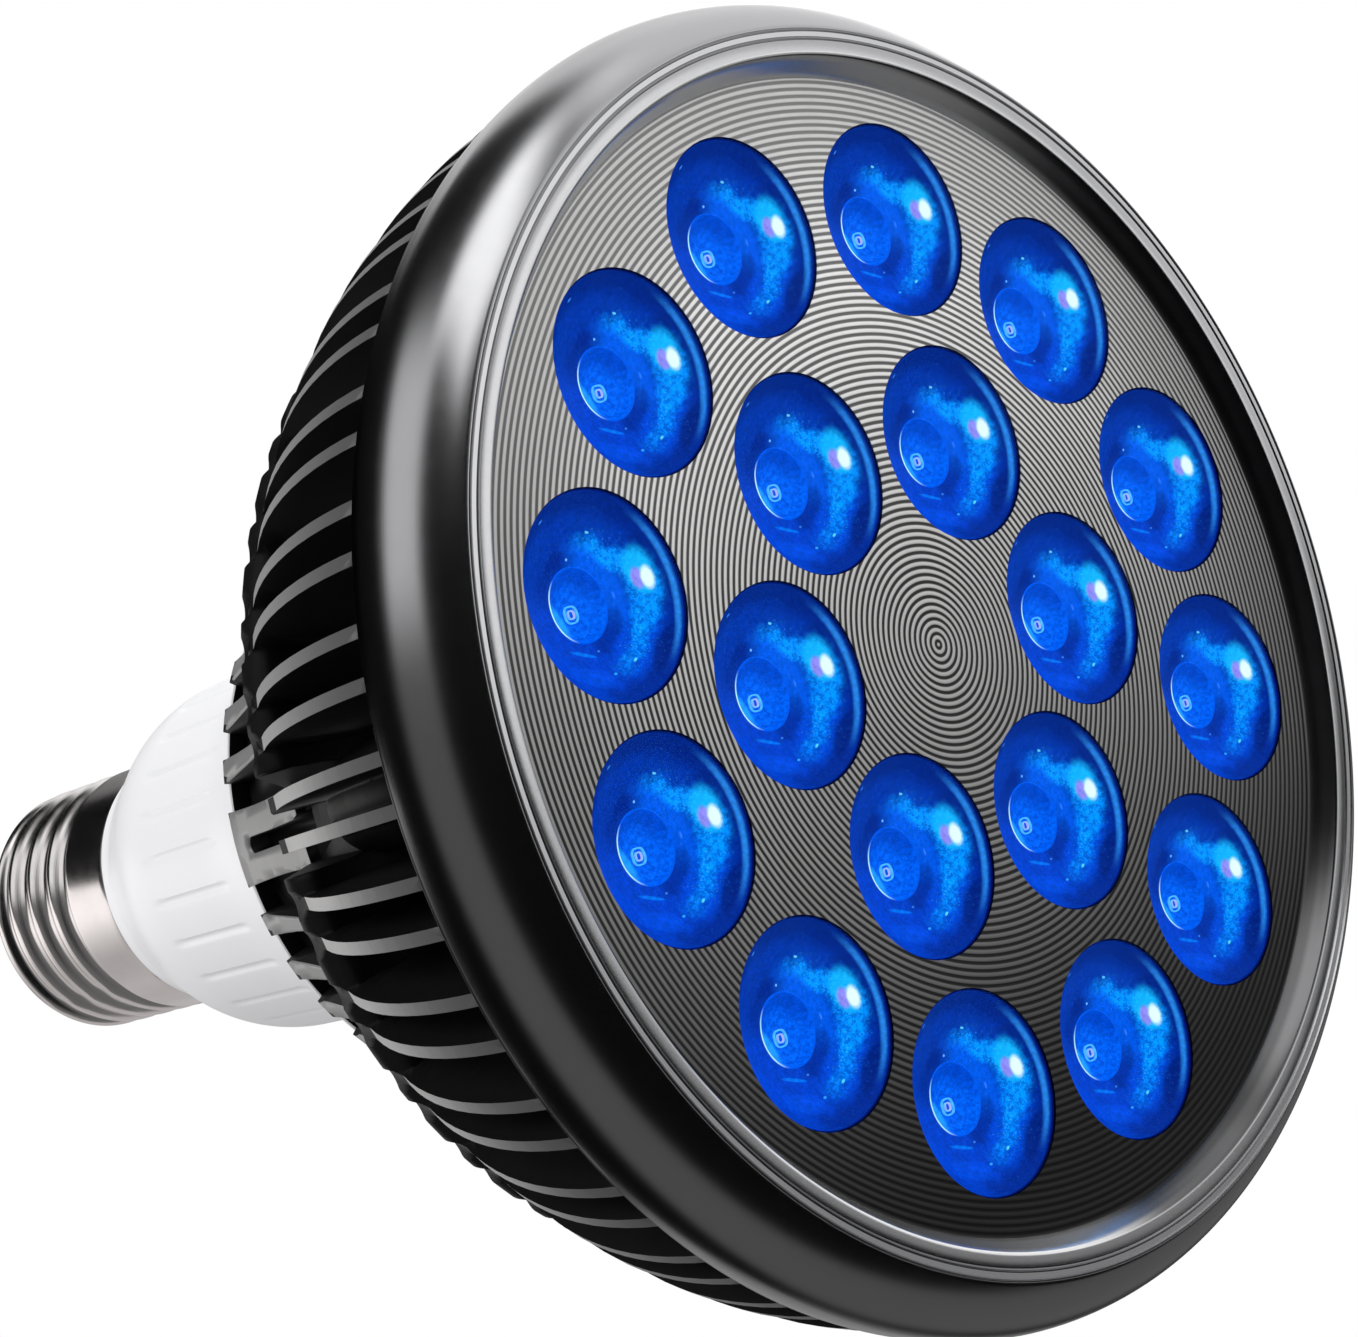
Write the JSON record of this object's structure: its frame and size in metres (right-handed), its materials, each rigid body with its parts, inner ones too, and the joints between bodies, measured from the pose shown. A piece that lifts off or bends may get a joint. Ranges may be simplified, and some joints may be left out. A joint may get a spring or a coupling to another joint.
{
  "type": "grow light bulb",
  "caption": "Reflector-shaped LED grow light bulb: blue lenses in a turned plate, a finned heat sink, a white collar and an Edison screw base.",
  "frame": {"origin": "centre of the bezel's front plane, on which the bulb stands face down", "axes": "+Z along the bulb's axis towards the contact of the screw base; +X towards a lens of the inner ring"},
  "size_m": [0.1206, 0.1206, 0.1345],
  "materials": {
    "bezel_black": "glossy graphite black",
    "turned_plate": "turned in fine rings, dark",
    "lens_blue": "clear, lit blue",
    "led_yellow": "silicone over phosphor",
    "black_casting": "black, bare on the turned edges",
    "white_plastic": "smooth white",
    "nickel": "bright nickel plate",
    "black_insulator": "glazed black",
    "solder": "dull tin",
    "board_white": "white solder mask",
    "pad_grey": "matte",
    "steel": "zinc plated",
    "board_green": "solder mask",
    "ferrite": "matte ferrite",
    "capacitor_sleeve": "shrink sleeve",
    "lead_red": "insulation",
    "lead_black": "insulation"
  },
  "bodies": {
    "root": {"bezel_ring": "bezel_black", "face_plate": "turned_plate", "heat_sink": "black_casting", "collar": "white_plastic", "screw_shell": "nickel", "base_insulator": "black_insulator", "centre_contact": "solder", "led_board": "board_white", "thermal_pad": "pad_grey", "board_screws": "steel", "driver_board": "board_green", "driver_transformer": "ferrite", "driver_capacitor": "capacitor_sleeve", "live_lead": "lead_red", "neutral_lead": "lead_black", "led_lead_red": "lead_red", "led_lead_black": "lead_black", "lens_01": "lens_blue", "lens_02": "lens_blue", "lens_03": "lens_blue", "lens_04": "lens_blue", "lens_05": "lens_blue", "lens_06": "lens_blue", "lens_07": "lens_blue", "lens_08": "lens_blue", "lens_09": "lens_blue", "lens_10": "lens_blue", "lens_11": "lens_blue", "lens_12": "lens_blue", "lens_13": "lens_blue", "lens_14": "lens_blue", "lens_15": "lens_blue", "lens_16": "lens_blue", "lens_17": "lens_blue", "lens_18": "lens_blue", "led_01": "led_yellow", "led_02": "led_yellow", "led_03": "led_yellow", "led_04": "led_yellow", "led_05": "led_yellow", "led_06": "led_yellow", "led_07": "led_yellow", "led_08": "led_yellow", "led_09": "led_yellow", "led_10": "led_yellow", "led_11": "led_yellow", "led_12": "led_yellow", "led_13": "led_yellow", "led_14": "led_yellow", "led_15": "led_yellow", "led_16": "led_yellow", "led_17": "led_yellow", "led_18": "led_yellow"}
  },
  "joints": []
}
